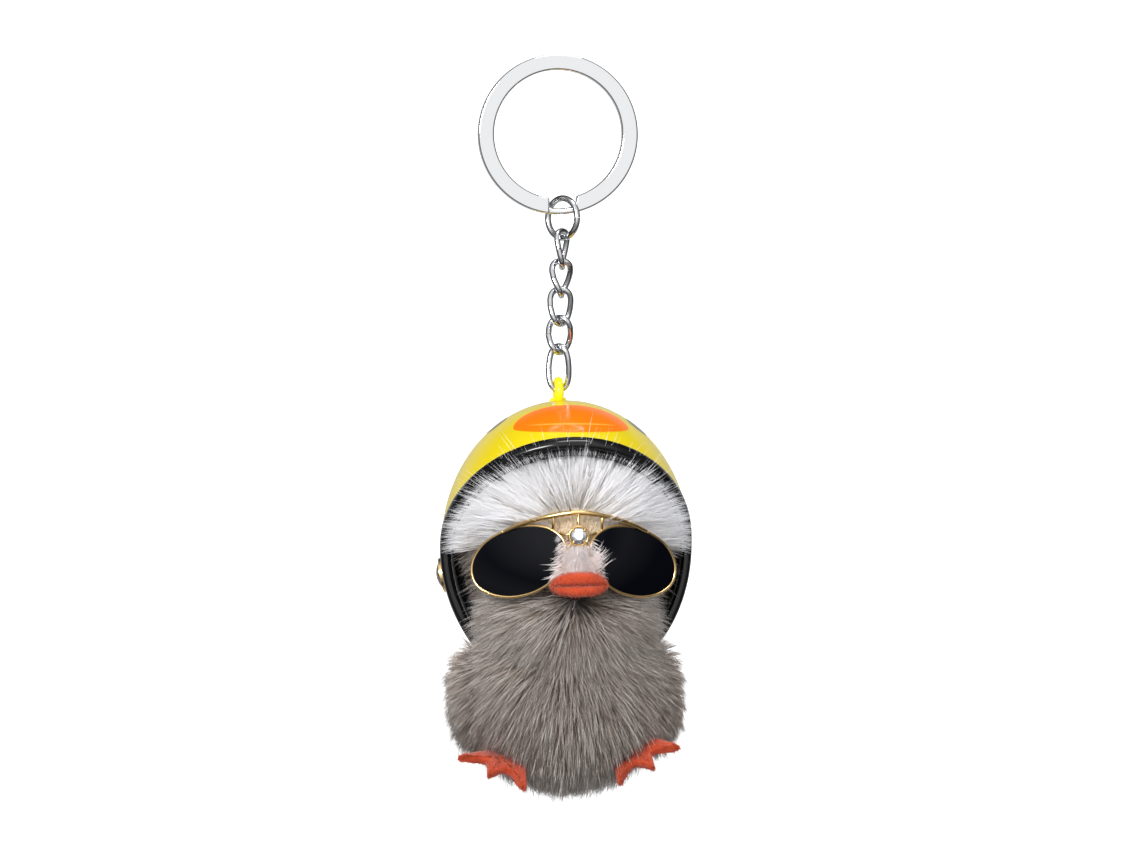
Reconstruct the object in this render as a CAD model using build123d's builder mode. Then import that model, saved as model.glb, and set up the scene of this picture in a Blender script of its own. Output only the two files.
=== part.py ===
"""Plush duck keychain: split ring, jump ring, five chain links and a helmeted plush duck.

Millimetres, +Z up, the duck faces -Y. The origin is the hang point, the inside top of the
split ring, so the whole keychain hangs below it. "left" and "right" are the duck's own.
"""

import os
from math import asin, cos, hypot, pi, radians, sin, sqrt, tan

from build123d import *

# Split ring: a flat band wound twice, with one narrow crossover at the bottom.
ring_outer_r = 15.0
ring_inner_r = 12.0
ring_z = -ring_inner_r
coil_thick = 1.25
coil_gap = 0.06
crossover_x = (-1.6, 3.4)
crossover_inner_r = 13.8
crossover_tab = 0.3

# Chain: a round jump ring and five twisted links of round wire.
seam_gap = 0.06
jump_wire_r = 0.6
jump_r = 3.7
jump_centre = (0.9, 0.0, -27.65)
jump_turn = -48.0
link_wire_r = 0.575
link_steps = 16
link_squareness = 2.6
link_gap = 0.15
# One row per link: its X, the height between its end wires, their directions and the half width.
links = {
    "chain_link_1": (0.8, 6.9, 45, 90, 2.1),
    "chain_link_2": (0.65, 6.6, 0, 85, 2.125),
    "chain_link_3": (0.5, 6.6, -5, 50, 2.125),
    "chain_link_4": (0.35, 6.6, -40, 50, 2.125),
    "chain_link_5": (0.2, 8.2, -40, 0, 1.95),
}

# Helmet: a spheroid about X, its centre, and half sizes along X and across it.
duck_centre = (1.3, -2.0, -88.8)
shell_outer = (23.2, 27.1)
shell_inner = (21.8, 25.7)
liner_outer = (21.75, 25.65)
liner_inner = (19.6, 23.5)
trim_outer = (23.7, 27.6)
trim_inner = (21.4, 25.3)
trim_lap = 2.0
trim_lip = 0.5
liner_recess = 2.3
# Side view of the face opening, as Y and Z from the helmet's centre.
brow_corner = (-32.0, 33.0)
ear_corner = (0.5, 2.1)
cheek_corner = (0.5, -19.5)
nape_corner = (32.0, -14.0)
cutter_reach = 60.0
ear_fillet = 10.0
cheek_fillet = 5.0

# Hanging eye, a bolt with a closed loop through the top of the helmet.
eye_x = 0.1
eye_r = 2.05
eye_wire_r = 0.85
collar_top_r = 1.35
collar_r = 2.0
collar_top_z = -61.25
collar_bottom_z = -62.3
shank_r = 0.9
shank_end_z = -64.9
nut_across_corners_r = 2.2
nut_top_z = -63.5
nut_thick = 1.2
bore_fit = 0.05
pocket_room = 0.25
nut_pocket_rise = 0.5

# Snap rivets on both sides of the helmet, as Y and Z from its centre.
rivet_place = (6.2, -5.5)
washer_r = 3.25
washer_high = 0.65
cap_r = 2.6
cap_high = 0.95
post_r = 1.0
back_r = 2.2
back_depth = 1.55
back_thick = 0.8
back_fillet = 0.15
rivet_fit = 0.03

# Plush: head inside the liner, body below it, two wings.
head_half = (19.3, 21.4)
head_base = -9.5
head_core_half = (14.5, 16.5)
head_core_base = -8.9
body_r = 18.5
body_half_z = 17.6
body_drop = -27.0
body_core_r = 11.5
body_core_half_z = 12.0
neck_heights = (-22.0, -9.7)
neck_radii = (11.5, 15.5)
helmet_clear = (24.2, 28.1)
helmet_clear_base = -20.2
core_fit = 0.1
wing_place = (0.0, 1.0, -29.2)
wing_r = 8.6
wing_inner_x = 19.5
wing_inner_r = 18.0
wing_outer_x = 22.1
wing_outer_r = 11.0

# Felt feet, a three-toed web of one thickness; the heel is tucked under the body.
foot_thick = 1.5
foot_out_turn = 30.0
foot_pitch = 22.0
foot_heels = {"left": (10.4, -5.5, -37.4), "right": (-11.2, -5.5, -38.6)}
foot_rolls = {"left": 33.0, "right": 26.0}
toe_reach = 11.5
toe_spread = 37.0
web_reach = 8.3
heel_half = 2.2
foot_clear = 0.12

# Felt beak, two lips that meet on the mouth line.
beak_root_y = -21.9
beak_neck_y = -24.7
beak_front_y = -28.6
beak_root_half = 1.9
beak_half = 5.15
mouth_z = -7.1
upper_lip_high = 2.4
lower_lip_high = 2.1
lip_corner_high = 0.7
lip_gap = 0.12

# Sunglasses: two aviator rims turned back around the face, a brow bar and a set stone.
bridge_half = 2.1
glasses_y = -24.0
glasses_z = -2.7
wrap_turn = 28.0
rim_wide = 0.55
rim_thick = 1.0
lens_thick = 0.8
lens_fit = 0.03
brow_wire_r = 0.45
strut_wire_r = 0.32
stone_z = 2.0
stone_r = 1.5
cup_r = 1.9
cup_front_y = -25.6
cup_back_y = -24.3
cup_depth = 0.8
stone_table_high = 0.2
stone_taper = 20.0
# One lens outline, out from the bridge along X and up along Y, as a rounded polygon.
lens_corners = ((0.1, 4.9), (6.0, 7.3), (15.5, 5.2), (20.0, 0.6), (18.6, -5.6), (11.0, -7.6), (1.6, -4.4))
lens_fillets = (2.4, 6.0, 6.0, 4.2, 3.6, 6.0, 3.6)
# Brow bar and struts, from the helmet's centre.
brow_half = ((12.7, -18.4, 3.5), (7.5, -21.9, 5.7))
brow_peak = (0.0, -24.6, 6.8)
struts = (
    ((4.6, -22.7, 3.4), (4.6, -23.2, 6.1)),
    ((-4.6, -22.7, 3.4), (-4.6, -23.2, 6.1)),
    ((0, -24.9, 3.5), (0, -24.6, 6.7)),
    ((1.2, -24.9, 1.7), (2.9, -23.7, 1.3)),
    ((-1.2, -24.9, 1.7), (-2.9, -23.7, 1.3)),
)

os.makedirs("parts", exist_ok=True)


def finish(builder, name):
    """Label one finished piece and write it."""
    builder.part.label = name
    export_step(builder.part, f"parts/{name}.step")
    print(f"{name}: {builder.part.volume:.2f} mm3, {len(builder.part.solids())} solid(s)")


def from_duck(x, y, z):
    """A place given from the helmet's centre."""
    return (duck_centre[0] + x, duck_centre[1] + y, duck_centre[2] + z)


def spheroid(half):
    """The helmet family of balls: half[0] along X and half[1] across it, on the duck's centre."""
    with BuildPart() as ball:
        Sphere(half[1])
        scale(by=(half[0] / half[1], 1, 1))
    return ball.part.moved(Location(duck_centre))


def opening(grow):
    """Everything in front of and below the helmet's edge, grown into the helmet by a distance."""
    with BuildPart() as cutter:
        with BuildSketch(Plane(origin=duck_centre, x_dir=(0, 1, 0), z_dir=(1, 0, 0))) as side:
            with BuildLine():
                Polyline(
                    brow_corner,
                    ear_corner,
                    cheek_corner,
                    nape_corner,
                    (nape_corner[0], -cutter_reach),
                    (-cutter_reach, -cutter_reach),
                    (-cutter_reach, brow_corner[1]),
                    close=True,
                )
            make_face()
            fillet(side.vertices().sort_by_distance(ear_corner)[0], ear_fillet)
            fillet(side.vertices().sort_by_distance(cheek_corner)[0], cheek_fillet)
            if grow:
                offset(amount=grow, kind=Kind.INTERSECTION)
        extrude(amount=cutter_reach, both=True)
    return cutter.part


def slab(low, high):
    """A wide block between two heights from the duck's centre."""
    with BuildPart() as block:
        with BuildSketch(Plane.XY.offset(duck_centre[2] + low)):
            Rectangle(2 * cutter_reach, 2 * cutter_reach)
        extrude(amount=high - low)
    return block.part


def corner_radii(points):
    """The largest fillet at each inner corner that leaves a short straight run between two."""
    radii = []
    for before, here, after in zip(points, points[1:], points[2:]):
        into = Vector(here) - Vector(before)
        out = Vector(after) - Vector(here)
        half_turn = radians(into.get_angle(out)) / 2
        radii.append(0.45 * min(into.length, out.length) / tan(half_turn))
    return radii


def rounded(value, power):
    """Signed power of a cosine or sine, which squares an ellipse."""
    return abs(value) ** power * (1 if value > 0 else -1)


def link_points(top_z, x, high, top_turn, bottom_turn, half_width):
    """Centreline of a twisted oval link, once round from the butt seam in its left side."""
    half_high = high / 2
    middle = top_z - half_high
    points = []
    for step in range(link_steps + 1):
        angle = pi + 2 * pi * step / link_steps
        across = half_width * rounded(cos(angle), 2 / link_squareness)
        rise = half_high * rounded(sin(angle), 2 / link_squareness)
        if step in (0, link_steps):
            across = -half_width
            rise = seam_gap / 2 if step else -seam_gap / 2
        share = (half_high - rise) / (2 * half_high)
        turn = radians(top_turn + share * (bottom_turn - top_turn))
        points.append((x + across * cos(turn), across * sin(turn), middle + rise))
    return points


# ------------------------------------------------------------------ split ring and chain
ring_plane = Plane(origin=(0, 0, ring_z), x_dir=(1, 0, 0), z_dir=(0, -1, 0))
front_face = coil_gap / 2 + coil_thick
left_end, right_end = crossover_x
with BuildPart() as split_ring:
    with BuildSketch(Plane.XY.offset(ring_z - ring_outer_r - 1)):
        with BuildLine():
            Polyline(
                (right_end + crossover_tab, -front_face),
                (right_end, -front_face),
                (left_end, coil_gap / 2),
                (left_end - crossover_tab, coil_gap / 2),
                (left_end - crossover_tab, front_face),
                (left_end, front_face),
                (right_end, -coil_gap / 2),
                (right_end + crossover_tab, -coil_gap / 2),
                close=True,
            )
        make_face()
    extrude(amount=ring_outer_r)
    with BuildSketch(ring_plane):
        Circle(ring_outer_r)
        Circle(crossover_inner_r, mode=Mode.SUBTRACT)
    extrude(amount=2 * front_face, both=True, mode=Mode.INTERSECT)
    for coil_start in (coil_gap / 2, -front_face):
        with BuildSketch(ring_plane.offset(coil_start)):
            Circle(ring_outer_r)
            Circle(ring_inner_r, mode=Mode.SUBTRACT)
            with Locations(((left_end + right_end) / 2, -ring_outer_r)):
                Rectangle(right_end - left_end, ring_outer_r, mode=Mode.SUBTRACT)
        extrude(amount=coil_thick)
finish(split_ring, "split_ring")

jump_side = (cos(radians(jump_turn)), sin(radians(jump_turn)), 0)
jump_plane = Plane(origin=jump_centre, x_dir=jump_side, z_dir=(-jump_side[1], jump_side[0], 0))
with BuildPart() as jump_ring:
    with BuildSketch(Plane(origin=jump_centre, x_dir=jump_side, z_dir=(0, 0, 1))):
        with Locations((jump_r, 0)):
            Circle(jump_wire_r)
    seam_turn = 360 * seam_gap / (2 * pi * jump_r)
    revolve(axis=Axis(jump_centre, jump_plane.z_dir), revolution_arc=360 - seam_turn)
finish(jump_ring, "jump_ring")

holder_wire_z = jump_centre[2] - jump_r
wire_step = jump_wire_r + link_wire_r + link_gap
for name, shape in links.items():
    points = link_points(holder_wire_z + wire_step, *shape)
    holder_wire_z += wire_step - shape[1]
    wire_step = 2 * link_wire_r + link_gap
    radii = corner_radii(points)
    print(name, "bend radii", " ".join(f"{radius:.2f}" for radius in radii))
    with BuildPart() as chain_link:
        with BuildLine() as path:
            FilletPolyline(*points, radius=radii)
        with BuildSketch(Plane(origin=path.line @ 0, z_dir=path.line % 0)):
            Circle(link_wire_r)
        sweep(path=path.line)
    run = sum(edge.length for edge in path.edges())
    print(name, "swept share", round(chain_link.part.volume / (pi * link_wire_r**2 * run), 4))
    print(name, "bottom wire centre", round(holder_wire_z, 3))
    finish(chain_link, name)

# ------------------------------------------------------------------ helmet
shell_ball = spheroid(shell_outer)
eye_z = holder_wire_z + wire_step / 2 + link_gap / 2 - (eye_r - eye_wire_r)
with BuildPart() as eye_bore:
    with BuildSketch(Plane((eye_x, 0, shank_end_z - 1))):
        Circle(shank_r + bore_fit)
    extrude(amount=collar_bottom_z - shank_end_z + 2)

with BuildPart() as nut_pocket:
    with BuildSketch(Plane((eye_x, 0, shank_end_z - pocket_room))):
        Circle(nut_across_corners_r + pocket_room)
    extrude(amount=nut_top_z - shank_end_z + 2 * pocket_room + nut_pocket_rise)


def rivet_plane(side):
    """Plane on the helmet's surface at one rivet, with its Z straight out of the shell."""
    y, z = rivet_place
    x = shell_outer[0] * sqrt(1 - (hypot(y, z) / shell_outer[1]) ** 2)
    out = Vector(side * x / shell_outer[0] ** 2, y / shell_outer[1] ** 2, z / shell_outer[1] ** 2)
    return Plane(origin=from_duck(side * x, y, z), x_dir=(0, 1, -y / z), z_dir=out)


rivet_sides = {"left": 1, "right": -1}
rivet_bores = []
rivet_pockets = []
for side in rivet_sides.values():
    with BuildPart() as rivet_bore:
        with BuildSketch(rivet_plane(side).offset(-4)):
            Circle(post_r + bore_fit)
        extrude(amount=6)
    rivet_bores.append(rivet_bore.part)
    with BuildPart() as rivet_pocket:
        with BuildSketch(rivet_plane(side).offset(-back_depth - back_thick - pocket_room)):
            Circle(back_r + pocket_room)
        extrude(amount=back_thick + 3 * pocket_room)
    rivet_pockets.append(rivet_pocket.part)

with BuildPart() as helmet_shell:
    add(shell_ball)
    add(spheroid(shell_inner), mode=Mode.SUBTRACT)
    add(opening(0), mode=Mode.SUBTRACT)
    add(eye_bore.part, mode=Mode.SUBTRACT)
    add(rivet_bores, mode=Mode.SUBTRACT)
finish(helmet_shell, "helmet_shell")

with BuildPart() as helmet_liner:
    add(spheroid(liner_outer))
    add(spheroid(liner_inner), mode=Mode.SUBTRACT)
    add(opening(liner_recess), mode=Mode.SUBTRACT)
    add(nut_pocket.part, mode=Mode.SUBTRACT)
    add(rivet_pockets, mode=Mode.SUBTRACT)
finish(helmet_liner, "helmet_liner")

with BuildPart() as edge_trim:
    add(spheroid(trim_outer))
    add(spheroid(trim_inner), mode=Mode.SUBTRACT)
    add(opening(trim_lap), mode=Mode.INTERSECT)
    add(opening(-trim_lip), mode=Mode.SUBTRACT)
    add(helmet_shell.part, mode=Mode.SUBTRACT)
finish(edge_trim, "edge_trim")

with BuildPart() as hanging_eye:
    with BuildSketch(Plane(origin=(eye_x, 0, 0), x_dir=(1, 0, 0), z_dir=(0, -1, 0))):
        with BuildLine():
            Polyline(
                (0, collar_top_z),
                (collar_top_r, collar_top_z),
                (collar_r, collar_bottom_z),
                (0, collar_bottom_z),
                close=True,
            )
        make_face()
    revolve(axis=Axis((eye_x, 0, 0), (0, 0, 1)))
    with BuildSketch(Plane((eye_x, 0, eye_z))):
        with Locations((0, eye_r)):
            Circle(eye_wire_r)
    revolve(axis=Axis((0, 0, eye_z), (1, 0, 0)))
    add(shell_ball, mode=Mode.SUBTRACT)
    with BuildSketch(Plane((eye_x, 0, shank_end_z))):
        Circle(shank_r)
    extrude(amount=collar_top_z - shank_end_z)
finish(hanging_eye, "hanging_eye")

with BuildPart() as hanging_eye_nut:
    with BuildSketch(Plane((eye_x, 0, nut_top_z - nut_thick))):
        RegularPolygon(nut_across_corners_r, 6)
        Circle(shank_r, mode=Mode.SUBTRACT)
    extrude(amount=nut_thick)
finish(hanging_eye_nut, "hanging_eye_nut")

for side_name, side in rivet_sides.items():
    face = rivet_plane(side)
    with BuildPart() as rivet_washer:
        with BuildSketch(face.offset(-1)):
            Circle(washer_r)
            Circle(post_r + bore_fit, mode=Mode.SUBTRACT)
        extrude(amount=1 + washer_high)
        add(shell_ball, mode=Mode.SUBTRACT)
    finish(rivet_washer, f"rivet_washer_{side_name}")

    cap_base = washer_high + rivet_fit
    dome_r = (cap_r**2 + cap_high**2) / (2 * cap_high)
    with BuildPart() as rivet_cap:
        with BuildSketch(Plane(origin=face.origin, x_dir=face.x_dir, z_dir=face.y_dir)):
            with BuildLine():
                Line((0, -cap_base - cap_high), (0, -cap_base))
                Line((0, -cap_base), (cap_r, -cap_base))
                RadiusArc((cap_r, -cap_base), (0, -cap_base - cap_high), dome_r)
            make_face()
        revolve(axis=Axis(face.origin, face.z_dir))
        with BuildSketch(face.offset(-back_depth - back_thick / 2)):
            Circle(post_r)
        extrude(amount=back_depth + back_thick / 2 + cap_base)
    finish(rivet_cap, f"rivet_cap_{side_name}")

    with BuildPart() as rivet_back:
        with BuildSketch(face.offset(-back_depth - back_thick)):
            Circle(back_r)
        extrude(amount=back_thick)
        fillet(rivet_back.edges(), back_fillet)
        with BuildSketch(face.offset(-back_depth - back_thick / 2)):
            Circle(post_r)
        extrude(amount=back_thick, mode=Mode.SUBTRACT)
    finish(rivet_back, f"rivet_back_{side_name}")

# ------------------------------------------------------------------ plush duck
def head_ball(half, base):
    """Ball of revolution about Z on the helmet's centre, cut flat at its base."""
    with BuildPart() as ball:
        with BuildSketch(Plane(origin=duck_centre, x_dir=(1, 0, 0), z_dir=(0, -1, 0))):
            Ellipse(*half)
            Rectangle(3 * half[0], 3 * half[1], align=(Align.MAX, Align.CENTER), mode=Mode.SUBTRACT)
            with Locations((0, base)):
                Rectangle(3 * half[0], 3 * half[1], align=(Align.CENTER, Align.MAX), mode=Mode.SUBTRACT)
        revolve(axis=Axis(duck_centre, (0, 0, 1)))
    return ball.part


with BuildPart() as head_core:
    add(head_ball(head_core_half, head_core_base))
finish(head_core, "head_core")

grown_core = [half + core_fit for half in head_core_half]
with BuildPart() as head_plush:
    add(head_ball(head_half, head_base))
    add(head_ball(grown_core, head_core_base - core_fit), mode=Mode.SUBTRACT)
finish(head_plush, "head_plush")


def body_ball(half_across, half_high):
    """Ball of revolution about Z, on the middle of the body."""
    middle = from_duck(0, 0, body_drop)
    with BuildPart() as ball:
        with BuildSketch(Plane(origin=middle, x_dir=(1, 0, 0), z_dir=(0, -1, 0))):
            Ellipse(half_across, half_high)
            Rectangle(3 * half_across, 3 * half_high, align=(Align.MAX, Align.CENTER), mode=Mode.SUBTRACT)
        revolve(axis=Axis(middle, (0, 0, 1)))
    return ball.part


with BuildPart() as helmet_room:
    add(spheroid(helmet_clear))
    add(slab(-cutter_reach, helmet_clear_base), mode=Mode.SUBTRACT)

with BuildPart() as neck:
    with Locations(from_duck(0, 0, neck_heights[0])):
        Cone(*neck_radii, neck_heights[1] - neck_heights[0], align=(Align.CENTER, Align.CENTER, Align.MIN))

with BuildPart() as body_core:
    add(body_ball(body_core_r, body_core_half_z))
finish(body_core, "body_core")

with BuildPart() as body_plush:
    add(body_ball(body_r, body_half_z))
    add(helmet_room.part, mode=Mode.SUBTRACT)
    add(neck.part)
    add(body_ball(body_core_r + core_fit, body_core_half_z + core_fit), mode=Mode.SUBTRACT)
finish(body_plush, "body_plush")


def cap_arc(apex, ball_r):
    """Half the side view of a round wing face: apex, middle and rim of an arc on the X axis."""
    spread = asin(wing_r / ball_r)
    middle_x = apex - ball_r
    return [(middle_x + ball_r * cos(part * spread), ball_r * sin(part * spread)) for part in (0, 0.5, 1)]


for side_name, side in rivet_sides.items():
    middle = from_duck(*wing_place)
    with BuildPart() as wing:
        with BuildSketch(Plane(origin=middle, x_dir=(side, 0, 0), z_dir=(0, -side, 0))):
            with BuildLine():
                inner = ThreePointArc(*cap_arc(wing_inner_x, wing_inner_r))
                outer = ThreePointArc(*cap_arc(wing_outer_x, wing_outer_r))
                Line(inner @ 0, outer @ 0)
                Line(inner @ 1, outer @ 1)
            make_face()
        revolve(axis=Axis(middle, (1, 0, 0)))
    finish(wing, f"wing_{side_name}")

    ahead = Vector(0, -1, 0).rotate(Axis.X, foot_pitch).rotate(Axis.Z, side * foot_out_turn)
    upward = Vector(0, 0, 1).rotate(Axis.X, foot_pitch).rotate(Axis.Z, side * foot_out_turn)
    upward = upward.rotate(Axis((0, 0, 0), ahead), side * foot_rolls[side_name])
    sole = Plane(origin=from_duck(*foot_heels[side_name]), x_dir=ahead, z_dir=upward)
    toes = [Vector(toe_reach, 0).rotate(Axis.Z, turn) for turn in (-toe_spread, 0, toe_spread)]
    webs = [Vector(web_reach, 0).rotate(Axis.Z, turn) for turn in (-toe_spread / 2, toe_spread / 2)]
    with BuildPart() as foot:
        with BuildSketch(sole):
            with BuildLine():
                Line((0, heel_half), toes[2])
                ThreePointArc(toes[2], webs[1], toes[1])
                ThreePointArc(toes[1], webs[0], toes[0])
                Line(toes[0], (0, -heel_half))
                ThreePointArc((0, -heel_half), (-heel_half, 0), (0, heel_half))
            make_face()
        extrude(amount=foot_thick / 2, both=True)
        add(body_ball(body_r + foot_clear, body_half_z + foot_clear), mode=Mode.SUBTRACT)
    finish(foot, f"foot_{side_name}")


def lip(high, direction):
    """One beak lip: a narrow root in the face and a wide front, arched away from the mouth line."""
    edge = mouth_z + direction * lip_gap / 2
    with BuildPart() as piece:
        with BuildSketch(Plane.XY.offset(duck_centre[2] + edge)):
            with BuildLine():
                Polyline(
                    from_duck(-beak_root_half, beak_root_y, 0)[:2],
                    from_duck(-beak_root_half, beak_neck_y, 0)[:2],
                    from_duck(-beak_half, beak_neck_y, 0)[:2],
                    from_duck(-beak_half, (beak_neck_y + beak_front_y) / 2, 0)[:2],
                )
                ThreePointArc(
                    from_duck(-beak_half, (beak_neck_y + beak_front_y) / 2, 0)[:2],
                    from_duck(0, beak_front_y, 0)[:2],
                    from_duck(beak_half, (beak_neck_y + beak_front_y) / 2, 0)[:2],
                )
                Polyline(
                    from_duck(beak_half, (beak_neck_y + beak_front_y) / 2, 0)[:2],
                    from_duck(beak_half, beak_neck_y, 0)[:2],
                    from_duck(beak_root_half, beak_neck_y, 0)[:2],
                    from_duck(beak_root_half, beak_root_y, 0)[:2],
                    from_duck(-beak_root_half, beak_root_y, 0)[:2],
                )
            make_face()
        extrude(amount=direction * high)
        arch_half = beak_half + lip_gap
        arch_plane = Plane(origin=from_duck(0, beak_root_y + 1, edge), x_dir=(1, 0, 0), z_dir=(0, -1, 0))
        with BuildSketch(arch_plane):
            with BuildLine():
                Line((-arch_half, 0), (arch_half, 0))
                Line((arch_half, 0), (arch_half, direction * lip_corner_high))
                ThreePointArc(
                    (arch_half, direction * lip_corner_high),
                    (0, direction * high),
                    (-arch_half, direction * lip_corner_high),
                )
                Line((-arch_half, direction * lip_corner_high), (-arch_half, 0))
            make_face()
        extrude(amount=cutter_reach, both=True, mode=Mode.INTERSECT)
    return piece


finish(lip(upper_lip_high, 1), "beak_upper")
finish(lip(lower_lip_high, -1), "beak_lower")

# ------------------------------------------------------------------ sunglasses

def lens_plane(side):
    """Plane of one lens, hinged on the bridge and turned back around the face."""
    out = (side * cos(radians(wrap_turn)), sin(radians(wrap_turn)))
    hinge = from_duck(side * bridge_half, glasses_y, glasses_z)
    return Plane(origin=hinge, x_dir=(*out, 0), z_dir=(out[1], -out[0], 0))


def lens_blank(side, grow, thick):
    """The lens outline, grown by a distance, as a plate on the lens plane."""
    with BuildPart() as plate:
        with BuildSketch(lens_plane(side)) as outline:
            with BuildLine():
                Polyline(*lens_corners, close=True)
            make_face()
            for corner, radius in zip(lens_corners, lens_fillets):
                fillet(outline.vertices().sort_by_distance(corner)[0], radius)
            if grow:
                offset(amount=grow)
        extrude(amount=thick / 2, both=True)
    return plate.part


def wire(points, wire_r):
    """Round wire along straight runs joined by large bends, given from the duck's centre."""
    places = [from_duck(*point) for point in points]
    with BuildPart() as rod:
        with BuildLine() as path:
            if len(places) > 2:
                FilletPolyline(*places, radius=corner_radii(places))
            else:
                Line(*places)
        with BuildSketch(Plane(origin=path.line @ 0, z_dir=path.line % 0)):
            Circle(wire_r)
        sweep(path=path.line)
    return rod.part


brow_points = [(-x, y, z) for x, y, z in brow_half] + [brow_peak] + list(reversed(brow_half))
lens_sides = {name: lens_blank(side, 0, lens_thick) for name, side in rivet_sides.items()}
rims = [lens_blank(side, rim_wide, rim_thick) for side in rivet_sides.values()]
rim_holes = [lens_blank(side, lens_fit, 2 * rim_thick) for side in rivet_sides.values()]
wires = [wire(strut, strut_wire_r) for strut in struts] + [wire(brow_points, brow_wire_r)]
cup_plane = Plane(origin=from_duck(0, cup_back_y, stone_z), x_dir=(1, 0, 0), z_dir=(0, -1, 0))
with BuildPart() as glasses_frame:
    add(rims)
    add(wires)
    with BuildSketch(cup_plane):
        Circle(cup_r)
    extrude(amount=cup_back_y - cup_front_y)
    add(rim_holes, mode=Mode.SUBTRACT)
    with BuildSketch(cup_plane.offset(cup_back_y - cup_front_y - cup_depth)):
        Circle(stone_r + lens_fit)
    extrude(amount=2 * cup_depth, mode=Mode.SUBTRACT)
finish(glasses_frame, "glasses_frame")

for side_name, plate in lens_sides.items():
    with BuildPart() as lens:
        add(plate)
    finish(lens, f"lens_{side_name}")

with BuildPart() as rhinestone:
    with BuildSketch(cup_plane.offset(cup_back_y - cup_front_y - cup_depth + lens_fit)):
        Circle(stone_r)
    extrude(amount=cup_depth + stone_table_high, taper=stone_taper)
finish(rhinestone, "rhinestone")
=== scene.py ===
"""Looks of the plush duck keychain: chrome ring and chain, glossy helmet, sunglasses and real fur strands.

Lengths are millimetres in the script and become metres when a mesh is made. Places on the duck
are counted from the middle of the helmet, X to the duck's left, -Y to its front and Z up.
"""

from math import cos, pi, radians, sin

import bmesh
import bpy
import numpy as np
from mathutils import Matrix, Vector


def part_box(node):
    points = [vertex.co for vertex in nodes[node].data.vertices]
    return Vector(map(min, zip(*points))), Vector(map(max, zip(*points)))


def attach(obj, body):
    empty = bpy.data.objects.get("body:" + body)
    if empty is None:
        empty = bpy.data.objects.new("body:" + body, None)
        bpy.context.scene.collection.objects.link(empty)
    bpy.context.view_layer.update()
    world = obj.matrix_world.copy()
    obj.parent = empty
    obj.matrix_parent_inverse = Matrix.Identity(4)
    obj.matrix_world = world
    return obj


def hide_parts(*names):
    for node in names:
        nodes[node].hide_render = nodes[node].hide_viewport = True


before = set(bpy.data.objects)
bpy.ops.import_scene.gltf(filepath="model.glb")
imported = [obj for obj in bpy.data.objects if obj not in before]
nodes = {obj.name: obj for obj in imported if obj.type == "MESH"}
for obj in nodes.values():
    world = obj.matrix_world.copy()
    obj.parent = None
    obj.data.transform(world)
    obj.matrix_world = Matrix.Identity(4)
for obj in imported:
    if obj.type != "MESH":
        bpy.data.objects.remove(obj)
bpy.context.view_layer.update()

MM = 0.001
SHELL = np.array((23.2, 27.1, 27.1))
shell_low, shell_high = (np.array(corner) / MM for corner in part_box("helmet_shell"))
DUCK = np.array(
    ((shell_low[0] + shell_high[0]) / 2, shell_high[1] - SHELL[1], shell_high[2] - SHELL[2])
)


# ---------------------------------------------------------------- materials
def new_material(name, color, roughness, metallic=0.0, **sockets):
    """A Principled material; extra sockets are given with underscores for spaces."""
    mat = bpy.data.materials.new(name)
    mat.use_nodes = True
    shader = mat.node_tree.nodes["Principled BSDF"]
    shader.inputs["Base Color"].default_value = (*color, 1)
    shader.inputs["Roughness"].default_value = roughness
    shader.inputs["Metallic"].default_value = metallic
    for socket, value in sockets.items():
        shader.inputs[socket.replace("_", " ")].default_value = value
    return mat


def add_node(mat, kind, **values):
    """A node with its properties or input values set."""
    node = mat.node_tree.nodes.new(kind)
    for key, value in values.items():
        if hasattr(node, key):
            setattr(node, key, value)
        else:
            node.inputs[key.replace("_", " ")].default_value = value
    return node


def link(mat, output, target):
    mat.node_tree.links.new(output, target)


def noise(mat, scale, detail=3.0, roughness=0.6):
    """Noise over the object's own coordinates."""
    place = add_node(mat, "ShaderNodeTexCoord")
    field = add_node(mat, "ShaderNodeTexNoise", Scale=scale, Detail=detail, Roughness=roughness)
    link(mat, place.outputs["Object"], field.inputs["Vector"])
    return field.outputs["Fac"]


def ramp(mat, fac, stops):
    """Colour ramp over a factor, with stops as (place, colour)."""
    node = add_node(mat, "ShaderNodeValToRGB")
    elements = node.color_ramp.elements
    while len(elements) < len(stops):
        elements.new(0.5)
    for element, (place, color) in zip(elements, stops):
        element.position = place
        element.color = (*color, 1)
    link(mat, fac, node.inputs["Fac"])
    return node.outputs["Color"]


def bump(mat, fac, strength, distance):
    """Bump from a factor, on the shader's normal."""
    node = add_node(mat, "ShaderNodeBump", Strength=strength, Distance=distance)
    link(mat, fac, node.inputs["Height"])
    link(mat, node.outputs["Normal"], mat.node_tree.nodes["Principled BSDF"].inputs["Normal"])


def shader_input(mat, name):
    return mat.node_tree.nodes["Principled BSDF"].inputs[name]


def rough_by(mat, fac, low, high):
    """Roughness between two values over a factor."""
    node = add_node(mat, "ShaderNodeMapRange", To_Min=low, To_Max=high)
    link(mat, fac, node.inputs["Value"])
    link(mat, node.outputs["Result"], shader_input(mat, "Roughness"))


def metal(name, color, roughness, scratch=0.06):
    mat = new_material(name, color, roughness, 1.0)
    field = noise(mat, 900, 4)
    rough_by(mat, field, roughness * 0.6, roughness * 1.6)
    bump(mat, field, scratch, 0.00004)
    return mat


def glossy(name, color, roughness, grain=400.0, strength=0.05, coat=0.6, shine=0.4):
    mat = new_material(
        name, color, roughness, Coat_Weight=coat, Coat_Roughness=0.05, Specular_IOR_Level=shine
    )
    field = noise(mat, grain, 4)
    rough_by(mat, field, roughness * 0.8, roughness * 1.3)
    bump(mat, field, strength, 0.00005)
    return mat


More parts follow.
